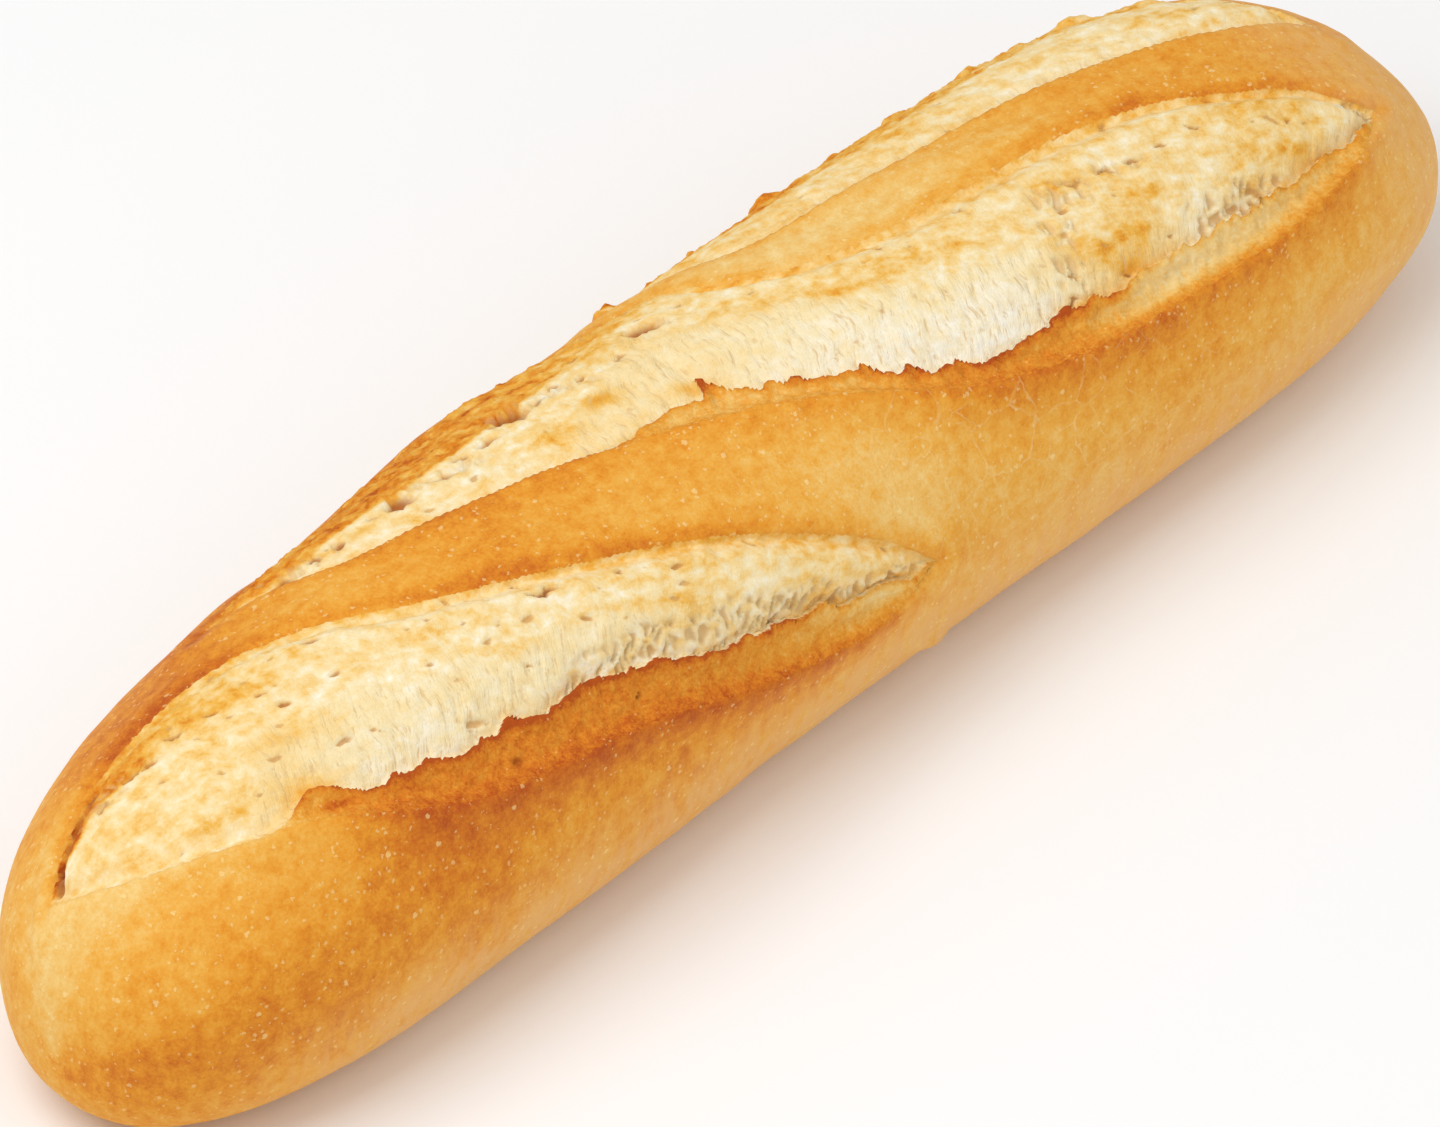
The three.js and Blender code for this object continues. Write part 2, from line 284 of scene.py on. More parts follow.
def along_loaf(x, values):
    """Values set out as (distance along the loaf, value), read at each distance."""
    distances, amounts = zip(*values)
    return np.interp(x, np.array(distances) * HALF / DRAWN_HALF, amounts)


def on_skin(x, degrees):
    """A place on the unrolled skin, in millimetres."""
    return np.array((x * HALF / DRAWN_HALF, degrees * ARC))


def smooth_line(points, steps=6):
    """A smooth line through (distance, degrees) points, as places on the unrolled skin."""
    points = np.array([on_skin(*point) for point in points])
    padded = np.vstack([2 * points[0] - points[1], points, 2 * points[-1] - points[-2]])
    share = np.linspace(0, 1, steps, endpoint=False)[:, None]
    spans = []
    for before, start, end, after in zip(padded, padded[1:], padded[2:], padded[3:]):
        leave = (end - before) / 2
        arrive = (after - start) / 2
        bend = 3 * (end - start) - 2 * leave - arrive
        twist = 2 * (start - end) + leave + arrive
        spans.append(start + share * (leave + share * (bend + share * twist)))
    return np.vstack([*spans, points[-1:]])


def measure_line(places, line):
    """Distance from each place to a line."""
    gap = np.full(len(places), np.inf)
    for start, end in zip(line[:-1], line[1:]):
        run = end - start
        length = math.hypot(*run)
        if length == 0:
            continue
        share = np.clip((places - start) @ run / length**2, 0, 1)
        away = places - start - share[:, None] * run
        gap = np.minimum(gap, np.hypot(away[:, 0], away[:, 1]))
    return gap


def inside(places, outline):
    """Which places lie inside a closed outline."""
    x, y = places.T
    found = np.zeros(len(places), bool)
    for (x0, y0), (x1, y1) in zip(outline, np.roll(outline, -1, axis=0)):
        if y0 == y1:
            continue
        crosses = (y0 > y) != (y1 > y)
        found ^= crosses & (x < (x1 - x0) * (y - y0) / (y1 - y0) + x0)
    return found


def depth_from(places, line, outline):
    """Distance from a line, positive inside the outline and negative outside it."""
    return np.where(inside(places, outline), 1, -1) * measure_line(places, line)


def wander(along, wavelength, seed):
    """Smooth random values between -1 and 1 along a line."""
    random = np.random.default_rng(seed)
    knots = random.uniform(-1, 1, int(600 / wavelength) + 4)
    place = np.clip((along + 300) / wavelength, 0, len(knots) - 2)
    left = np.floor(place).astype(int)
    return mix(knots[left], knots[left + 1], smoothstep(0, 1, place - left))


def oval(places, x, degrees, length, width):
    """How far out in an oval each place lies: 0 at its middle, 1 on its edge, squared."""
    away = places - on_skin(x, degrees)
    turn = math.radians(CUT_LEAN)
    along = away @ (math.cos(turn), math.sin(turn)) / (length / 2)
    across = away @ (-math.sin(turn), math.cos(turn)) / (width / 2)
    return along**2 + across**2


def spot(places, x, degrees, length, width):
    """1 at the middle of an oval, fading out past its edge."""
    return np.exp(-1.2 * oval(places, x, degrees, length, width))


def pore_bowl(places, x, degrees, length, width):
    """An uneven oval bowl, deepest under its far side: 1 at its deepest, 0 outside it."""
    across = np.clip((places[:, 1] - degrees * ARC) / width, -0.5, 0.5)
    depth = np.clip(1 - oval(places, x, degrees, length, width), 0, 1) ** 0.6
    return depth * (0.75 - 0.5 * across)


def chart(places, swatches, usual, reach):
    """Blends values set out as (distance, degrees, value) into one smooth value for every place."""
    total = np.full(len(places), 1e-4)
    blended = total * usual
    for x, degrees, value in swatches:
        away = places - on_skin(x, degrees)
        weight = np.exp(-0.5 * (away**2).sum(axis=1) / reach**2)
        total += weight
        blended += weight * value
    return blended / total


for slash in SLASHES:
    for name in ("upper", "rim", "torn", "ear"):
        slash[name] = smooth_line(slash[name])
    slash["opening"] = np.vstack([slash["upper"], slash["ear"][::-1]])
    slash["crumb"] = np.vstack([slash["upper"], slash["torn"][::-1]])
    slash["toasted"] = np.vstack([slash["upper"], slash["rim"][::-1]])


# ---------------------------------------------------------------- the skin
OUTLINE_POINTS = 401
FINE_POINTS = 4001
FINE_TURNS = 3601


def loaf_point(x, degrees):
    """The smooth loaf's surface at a distance along it and an angle from its crown."""
    station = np.clip(x / HALF, -1, 1)
    turn = np.radians(degrees)
    side = -np.sin(turn)
    up = np.cos(turn)
    power = np.where(up > 0, UPPER_POWER, LOWER_POWER)
    rise = np.where(up > 0, HEIGHT * (1 - WAIST), HEIGHT * WAIST * BELLY)
    across = np.sign(side) * np.abs(side) ** (2 / power) * WIDTH / 2
    height = HEIGHT * WAIST + np.sign(up) * np.abs(up) ** (2 / power) * rise
    left = station < 0
    reach, plan, tall = (np.where(left, a, b) for a, b in zip(LEFT_END, RIGHT_END))
    room = np.clip(1 - np.abs(station) ** reach, 0, 1)
    y = across * room ** (1 / plan) + BOW * (station**2 - BOW_CENTRE)
    z = np.maximum(HEIGHT * TIP + (height - HEIGHT * TIP) * room ** (1 / tall), 0)
    return np.stack([x, y, z], axis=1)


def middle_line():
    """How far the smooth loaf's middle lies to one side, in millimetres."""
    x = np.linspace(-HALF, HALF, OUTLINE_POINTS)
    near = loaf_point(x, np.full(len(x), 90.0))[:, 1].min()
    far = loaf_point(x, np.full(len(x), -90.0))[:, 1].max()
    return (near + far) / 2


def even_steps(places, step):
    """Indexes along a line of 3-D places that cut it into even steps, ends included."""
    travelled = np.concatenate([[0], np.cumsum(np.linalg.norm(np.diff(places, axis=0), axis=1))])
    wanted = np.linspace(0, travelled[-1], round(travelled[-1] / step) + 1)
    return np.interp(wanted, travelled, np.arange(len(travelled)))


def grid_lines():
    """Distances along the loaf and degrees around it that keep the skin's faces about square."""
    fine = HALF * np.sin(np.linspace(-1, 1, FINE_POINTS) * math.pi / 2)
    index = even_steps(loaf_point(fine, np.full(len(fine), 90.0)), SKIN_STEP)
    along = np.interp(index, np.arange(len(fine)), fine)
    turns = np.linspace(-180, 180, FINE_TURNS)
    index = even_steps(loaf_point(np.zeros(len(turns)), turns), SKIN_STEP)
    return along, np.interp(index, np.arange(len(turns)), turns)


def opening_depth(places):
    """How far each place lies inside the nearest opening, in millimetres, and below nothing outside."""
    depths = [depth_from(places, slash["opening"], slash["opening"]) for slash in SLASHES]
    return np.maximum.reduce(depths)


def unrolled_skin():
    """The skin as a flat sheet in millimetres, with small faces in and around the slashes."""
    along, turns = grid_lines()
    sheet = bmesh.new()
    rows = [[sheet.verts.new((x, turn * ARC, 0)) for turn in turns] for x in along]
    for row, following in zip(rows, rows[1:]):
        for side in range(len(turns) - 1):
            sheet.faces.new((row[side], following[side], following[side + 1], row[side + 1]))
    for reach in REFINED:
        sheet.faces.ensure_lookup_table()
        centres = np.array([face.calc_center_median() for face in sheet.faces])[:, :2]
        chosen = np.flatnonzero(opening_depth(centres) > -reach)
        edges = {edge for index in chosen for edge in sheet.faces[index].edges}
        edges = sorted(edges, key=lambda edge: edge.index)
        bmesh.ops.subdivide_edges(sheet, edges=edges, cuts=1, use_grid_fill=True)
        sheet.edges.index_update()
    many_sided = [face for face in sheet.faces if len(face.verts) > 4]
    bmesh.ops.triangulate(sheet, faces=many_sided)
    return sheet


# ---------------------------------------------------------------- relief
CRUMB_DROP = 1.5  # depth of the crumb below the skin at its edges
CRUMB_CROWN = 2.8  # how far the middle of the crumb rises again
SHELF_DROP = 0.6
SHELF_RISE = 0.9  # how far the shelf rises again where the crumb tore off it
EAR_HEIGHT = 1.9
EAR_FRONT = 1.8  # how far the ear slopes, towards the shelf and over the crust
EAR_BACK = 4.0
LIP_HEIGHT = 0.8
LIP_REACH = 0.9  # how far a torn edge leans over the crumb
FAR_BUMP_HEIGHT = 1.2  # of the crisp points, as a share of the heights listed
FAR_BUMP_WIDTH = 0.48
PORE_LENGTH = 0.9  # of the larger pores, as a share of the lengths listed
PORE_WIDTH = 0.85
TORN_OUTLINE = 0.34  # how much browner the shelf is where the crumb tore off it
# The crumb is golden along the far edge partly from toasting and partly as painted shade under the crust's
# lip.
FAR_TOAST_AND_SHADE = 0.58  # brownness of the crumb at the far edge
FAR_TOAST_AND_SHADE_REACH = 1.4
USUAL_CRUST_BAKE = 0.42
USUAL_CRUMB_BAKE = 0.3
CRUST_BLEND = 9  # how far a listed brownness reaches
CRUMB_BLEND = 6
# Along each far edge the crust is browner partly from baking and partly as painted shade under the lip.
FAR_EDGE_BAKE_AND_SHADE = 0.16  # how much browner the crust is along the far edge
CRACKLED = (36, 66, 100, 34)  # where the crust is crackled: distance, degrees, length, width
UNSEEN = -9.0  # depth given to places far from every slash


def slash_relief(slash, places, seed):
    """The relief and the bake of one slash: a dict of arrays, one value for each place."""
    x = places[:, 0]
    shelf_here = smoothstep(*slash["shelf"], x)
    clean = 1 - shelf_here
    teeth = 0.5 * wander(x, 1.2, seed) + 0.5 * wander(x, 2.4, seed + 1) + 0.7 * wander(x, 6, seed + 2)
    ragged = slash["ragged"] * mix(0.12, 1.0, shelf_here) * teeth
    far_teeth = slash["rough_far"] * (0.5 * wander(x, 1.6, seed + 3) + 0.9 * wander(x, 5, seed + 4))

    upper_in = depth_from(places, slash["upper"], slash["opening"]) + far_teeth
    torn_in = depth_from(places, slash["torn"], slash["crumb"]) + ragged
    for tooth_x, reach, width in slash["teeth"]:
        torn_in -= reach * bell(x - tooth_x, width / 2)
    torn_side = torn_in
    ear_in = depth_from(places, slash["ear"], slash["opening"]) + mix(ragged, 0.15 * teeth, shelf_here)
    rim_in = depth_from(places, slash["rim"], slash["toasted"]) + 0.8 * wander(x, 4, seed + 5)
    edge_in = np.minimum(upper_in, ear_in)
    torn_in = np.minimum(torn_in, edge_in + 0.5)

    exposed = smoothstep(-0.3, 0.3, edge_in)
    room = smoothstep(0, 9, upper_in + torn_in)
    across = np.clip(upper_in / np.maximum(upper_in + np.maximum(torn_in, 0), 3), 0, 1)
    crumb_level = CRUMB_CROWN * room * np.sin(math.pi * across**0.85) - CRUMB_DROP
    shelf_level = SHELF_RISE * smoothstep(2.5, 0, np.abs(torn_in)) - SHELF_DROP
    level = mix(shelf_level, crumb_level, smoothstep(-0.2 - 0.4 * clean, 0.5 + 1.1 * clean, torn_in))
    rim = smoothstep(0.1, 1.3, rim_in) * exposed
    level = mix(level, np.maximum(level, -0.1), rim)

    open_share = smoothstep(-0.3, 1.6, upper_in) * smoothstep(-0.3, 1.0 + 0.8 * clean, ear_in)
    to_ear = np.abs(ear_in)
    near_ear = smoothstep(0, 12, np.abs(upper_in) + to_ear)
    ear_height = mix(LIP_HEIGHT, EAR_HEIGHT * (1 + 0.15 * teeth), shelf_here) * near_ear
    ear = ear_height * np.where(ear_in > 0, bell(to_ear, EAR_FRONT), bell(to_ear, EAR_BACK))
    ear = ear * (1 - smoothstep(-2.0, 0.5, torn_in) * (1 - shelf_here))
    far_height = slash["rough_far"] * (0.35 + 0.35 * wander(x, 1.5, seed + 7))
    uneven_x = 0.7 * wander(x, 1.8, seed + 6)
    for bump_x, height, width in slash["far_bumps"]:
        bump = bell(x - bump_x + uneven_x, FAR_BUMP_WIDTH * width)
        far_height = far_height + FAR_BUMP_HEIGHT * height * bump
    far_rise = far_height * bell(upper_in - 0.7, 1.5)
    far_lip = 0.5 * bell(upper_in + 3, 3.5) * smoothstep(0.8, -0.8, upper_in)

    crumb = exposed * smoothstep(-0.25, 0.25, torn_in)
    band = along_loaf(x, slash["fibres"])
    fibres = crumb * smoothstep(band + 2.5, band - 2.5, torn_side) * smoothstep(0, 3, band)
    cell_band = along_loaf(x, slash["cells"])
    cells = crumb * smoothstep(cell_band + 0.8, cell_band - 0.8, torn_side) * smoothstep(0.5, 2, cell_band)
    cells = cells * smoothstep(0.1, 0.8, torn_side) * smoothstep(1.0, 3.0, upper_in)

    ear_bake = along_loaf(x, slash["ear_bake"])
    shelf_bake = along_loaf(x, slash["shelf_bake"])
    shelf_bake = shelf_bake + TORN_OUTLINE * smoothstep(-1.3, -0.1, torn_in)
    shelf_bake = mix(shelf_bake, ear_bake, bell(to_ear, 2.0))
    browned = mix(0.8, 1.0, shelf_here) * near_ear * (to_ear < np.abs(upper_in) + 0.5)
    browned = browned * np.exp(-((to_ear / mix(2.2, 5.5, shelf_here)) ** 1.2))
    lip = bell(torn_in + 0.35, 0.6) * room * smoothstep(3, 6, upper_in)
    return {
        "level": level * open_share + ear + far_rise + far_lip,
        "lean": LIP_REACH * (1 - 0.8 * clean) * lip,
        "edge_in": edge_in,
        "torn_in": torn_in,
        "upper_in": upper_in,
        "rim": rim * crumb,
        "rim_bake": along_loaf(x, slash["rim_bake"]),
        "fibres": fibres * (1 - cells),
        "cells": cells,
        "shelf_bake": shelf_bake,
        "ear_bake": ear_bake,
        "browned": browned,
    }


def skin_relief(places):
    """Every slash's relief and bake, the pores, the spots and the swellings, as a dict of arrays."""
    nearest = ("edge_in", "torn_in", "upper_in", "rim", "rim_bake", "fibres", "cells", "shelf_bake")
    skin = {name: np.zeros(len(places)) for name in ("level", "lean", "hollow", "burnt", *nearest)}
    skin["edge_in"] += UNSEEN
    skin["torn_in"] += UNSEEN
    skin["bake"] = chart(places, CRUST_BAKE, USUAL_CRUST_BAKE, CRUST_BLEND)
    skin["toast"] = chart(places, CRUMB_BAKE, USUAL_CRUMB_BAKE, CRUMB_BLEND)
    for number, slash in enumerate(SLASHES):
        relief = slash_relief(slash, places, 10 * number + 3)
        skin["level"] += relief["level"]
        skin["lean"] += relief["lean"]
        nearer = relief["edge_in"] > skin["edge_in"]
        for name in nearest:
            skin[name] = np.where(nearer, relief[name], skin[name])
        skin["bake"] = mix(skin["bake"], relief["ear_bake"], relief["browned"])
        # browner along the far edge: baked colour and painted shade under the lip
        skin["bake"] += FAR_EDGE_BAKE_AND_SHADE * bell(relief["upper_in"] + 0.6, 1.8)

    for *where, added in TOASTED:
        skin["toast"] += added * spot(places, *where)
    # golden crumb along the far edge: toast and painted shade under the lip
    far_edge = np.exp(-np.maximum(skin["upper_in"], 0) / FAR_TOAST_AND_SHADE_REACH)
    skin["toast"] = np.maximum(skin["toast"], mix(skin["toast"], FAR_TOAST_AND_SHADE, far_edge))
    for *where, added in SHELF_SPOTS:
        skin["shelf_bake"] += added * spot(places, *where)
    skin["toast"] = mix(skin["toast"], np.maximum(skin["toast"], skin["rim_bake"]), skin["rim"])

    exposed = smoothstep(-0.3, 0.3, skin["edge_in"])
    uneven = np.stack([wander(places[:, 1], 1.3, 81), wander(places[:, 0], 1.1, 82)], axis=1)
    uneven = places + 0.6 * uneven
    # Each pore sinks the skin; hollow marks where painted shade fills it, burnt how browned its crumb is.
    for x, degrees, length, width, depth, browned in PORES:
        bowl = pore_bowl(uneven, x, degrees, PORE_LENGTH * length, PORE_WIDTH * width) * exposed
        skin["level"] -= depth * bowl
        skin["hollow"] = np.maximum(skin["hollow"], bowl)
        skin["burnt"] = np.maximum(skin["burnt"], browned * np.minimum(1.8 * bowl, 1))
    for *where, share in CELL_PATCHES:
        patch = share * exposed * smoothstep(1.6, 0.5, oval(uneven, *where))
        skin["cells"] = np.maximum(skin["cells"], patch)
    # Each crack sinks the crumb and is filled with painted shade, partly browned.
    for start, end, width, depth in CREVICES:
        line = np.array([on_skin(*start), on_skin(*end)])
        gap = measure_line(places, line) + 0.5 * wander(places[:, 0], 2.0, 71)
        crack = bell(gap, width) * exposed
        skin["level"] -= depth * crack
        skin["hollow"] = np.maximum(skin["hollow"], crack)
        skin["burnt"] = np.maximum(skin["burnt"], 0.6 * crack)
    for *where, height in SWELLINGS:
        skin["level"] += height * spot(places, *where)
    skin["level"] *= smoothstep(0, 2, HALF - np.abs(places[:, 0]))
    skin["crackle"] = spot(places, *CRACKLED)
    low = smoothstep(78, 108, np.abs(places[:, 1]) / ARC) * smoothstep(-142, -100, places[:, 0])
    skin["dusting"] = low + (1 - low) * 0.7 * smoothstep(108, 130, places[:, 0])
    return skin


def surface_frame(x, degrees):
    """The smooth loaf's surface, its outward direction and its direction around the loaf."""
    step = 0.02
    surface = loaf_point(x, degrees)
    before = np.maximum(x - step, -HALF)
    after = np.minimum(x + step, HALF)
    forward = loaf_point(after, degrees) - loaf_point(before, degrees)
    around = loaf_point(x, degrees + step) - loaf_point(x, degrees - step)
    outward = np.cross(forward, around)
    size = np.linalg.norm(outward, axis=1, keepdims=True)
    outward = np.where(size > 1e-9, outward / np.maximum(size, 1e-9), (1, 0, 0))
    outward *= np.sign(np.sum(outward * (surface - (0, 0, HEIGHT * TIP)), axis=1, keepdims=True))
    around /= np.maximum(np.linalg.norm(around, axis=1, keepdims=True), 1e-9)
    return surface, outward, around


SKIN_VALUES = ("edge_in", "torn_in", "rim", "fibres", "cells", "shelf_bake", "hollow", "burnt", "bake",
               "toast", "crackle", "dusting")


def build_skin():
    """The whole loaf as one closed mesh in metres, with the values its finish is made from."""
    sheet = unrolled_skin()
    places = np.array([vert.co for vert in sheet.verts])[:, :2]
    at_tip = np.abs(places[:, 0]) > HALF - 0.001
    places[at_tip, 0] = np.sign(places[at_tip, 0]) * HALF
    skin = skin_relief(places)
    surface, outward, around = surface_frame(places[:, 0], places[:, 1] / ARC)
    moved = surface + outward * skin["level"][:, None] - around * skin["lean"][:, None]
    moved[:, 1] -= middle_line()
    moved[:, 2] = np.maximum(moved[:, 2], 0)

    turn = math.radians(CUT_LEAN)
    along_cut = places @ (math.cos(turn), math.sin(turn))
    across_cut = places @ (-math.sin(turn), math.cos(turn))
    along_cut, across_cut = (along_cut + 0.7 * wander(across_cut + 0.35 * along_cut, 2.6, 91),
                             across_cut + 0.8 * wander(along_cut, 2.3, 92))
    layers = {name: sheet.verts.layers.float.new(name) for name in SKIN_VALUES}
    grain = sheet.verts.layers.float_vector.new("grain")
    for index, vert in enumerate(sheet.verts):
        vert.co = moved[index] * MM
        vert[grain] = (along_cut[index], across_cut[index], 0)
        for name, layer in layers.items():
            vert[layer] = skin[name][index]
    border = [vert for vert in sheet.verts if vert.is_boundary]
    bmesh.ops.remove_doubles(sheet, verts=border, dist=0.02 * MM)
    bmesh.ops.dissolve_degenerate(sheet, edges=sheet.edges, dist=0.0005 * MM)
    bmesh.ops.recalc_face_normals(sheet, faces=sheet.faces)
    for face in sheet.faces:
        face.smooth = True
    mesh = bpy.data.meshes.new("baguette_loaf")
    sheet.to_mesh(mesh)
    sheet.free()
    return mesh


# ---------------------------------------------------------------- node helpers
def colour(red, green, blue):
    """A colour as it looks on a screen, 0 to 255, for a shader socket."""
    shares = np.array((red, green, blue)) / 255
    linear = np.where(shares <= 0.04045, shares / 12.92, ((shares + 0.055) / 1.055) ** 2.4)
    return (*linear.tolist(), 1.0)


def plug(tree, socket, value):
    """Feeds a socket from another node's output, or with a plain value."""
    if isinstance(value, bpy.types.NodeSocket):
        tree.links.new(value, socket)
    else:
        socket.default_value = value


def add_node(tree, kind, sockets=None, **settings):
    node = tree.nodes.new(kind)
    for name, value in settings.items():
        setattr(node, name, value)
    for name, value in (sockets or {}).items():
        plug(tree, node.inputs[name], value)
    return node


def calculate(tree, operation, *values, clamp=False):
    sockets = dict(enumerate(values))
    return add_node(tree, "ShaderNodeMath", sockets, operation=operation, use_clamp=clamp).outputs[0]


def times(tree, first, second):
    return calculate(tree, "MULTIPLY", first, second)


def calculate_vector(tree, operation, *values):
    sockets = dict(enumerate(values))
    return add_node(tree, "ShaderNodeVectorMath", sockets, operation=operation).outputs[0]


def stretch(tree, vector, scale):
    return calculate_vector(tree, "MULTIPLY", vector, scale)


def fade(tree, value, low, high, first=0.0, last=1.0):
    """A smooth step from first to last as value goes from low to high."""
    sockets = {"Value": value, "From Min": low, "From Max": high, "To Min": first, "To Max": last}
    return add_node(tree, "ShaderNodeMapRange", sockets, interpolation_type="SMOOTHSTEP").outputs["Result"]


def noise(tree, vector, scale=1.0, detail=2.0, roughness=0.5):
    sockets = {"Vector": vector, "Scale": scale, "Detail": detail, "Roughness": roughness}
    return add_node(tree, "ShaderNodeTexNoise", sockets).outputs[0]


def walls(tree, place, scale, randomness):
    """Distance from the nearest wall of a pattern of cells."""
    sockets = {"Vector": place, "Scale": scale, "Randomness": randomness}
    node = add_node(tree, "ShaderNodeTexVoronoi", sockets, feature="DISTANCE_TO_EDGE")
    return node.outputs["Distance"]


def bend(tree, place, scale, detail, reach):
    """Places moved aside by a noise, so that what is drawn on them isn't straight or even."""
    sockets = {"Vector": place, "Scale": scale, "Detail": detail}
    aside = add_node(tree, "ShaderNodeTexNoise", sockets).outputs["Color"]
    return calculate_vector(tree, "MULTIPLY_ADD", aside, (reach,) * 3, place)


def add_noise(tree, value, pattern, height):
    """A value made uneven by a pattern that runs from 0 to 1 around a half."""
    centred = calculate(tree, "SUBTRACT", pattern, 0.5)
    return calculate(tree, "MULTIPLY_ADD", centred, height, value)


def blend(tree, share, first, second):
    node = add_node(tree, "ShaderNodeMix", data_type="RGBA", clamp_factor=True)
    plug(tree, node.inputs[0], share)
    plug(tree, node.inputs[6], first)
    plug(tree, node.inputs[7], second)
    return node.outputs[2]


def ramp(tree, value, stops):
    node = add_node(tree, "ShaderNodeValToRGB", {"Fac": value})
    elements = node.color_ramp.elements
    elements[0].position, elements[0].color = stops[0]
    elements[1].position, elements[1].color = stops[-1]
    for place, shade in stops[1:-1]:
        elements.new(place).color = shade
    return node.outputs["Color"]


def start_finish(name, vectors, values):
    """An empty shader group for one finish, with a place, other vectors and values as its inputs."""
    inputs = {"Place": "NodeSocketVector"}
    inputs.update({socket: "NodeSocketVector" for socket in vectors})
    inputs.update({socket: "NodeSocketFloat" for socket in values})
    outputs = {"Colour": "NodeSocketColor", "Height": "NodeSocketFloat"}
    return start_group("ShaderNodeTree", name, inputs, outputs)


def end_finish(tree, result, shade, relief):
    tree.links.new(shade, result["Colour"])
    tree.links.new(relief, result["Height"])
    return tree


def start_group(kind, name, inputs, outputs):
    """An empty node group with named sockets: returns the tree, its given values and its result."""
    tree = bpy.data.node_groups.new(name, kind)
    for socket_name, socket_kind in inputs.items():
        tree.interface.new_socket(socket_name, in_out="INPUT", socket_type=socket_kind)
    for socket_name, socket_kind in outputs.items():
        tree.interface.new_socket(socket_name, in_out="OUTPUT", socket_type=socket_kind)
    return tree, tree.nodes.new("NodeGroupInput").outputs, tree.nodes.new("NodeGroupOutput").inputs


# ---------------------------------------------------------------- torn crumb and crust, as geometry
TEXTURE_SIZES = {
    "Lump Size": 13.0,
    "Lump Height": 0.4,
    "Tear Size": 4.5,
    "Tear Height": 0.6,
    "Strand Width": 1.1,
    "Strand Length": 4.6,
    "Strand Depth": 0.6,
    "Cell Width": 1.8,
    "Cell Length": 4.0,
    "Cell Depth": 0.95,
    "Pore Spacing": 2.8,
    "Pore Depth": 0.5,
    "Shelf Grain": 1.5,
    "Shelf Roughness": 0.75,
    "Seed": 3.0,
}
CELL_RANDOMNESS = 0.9


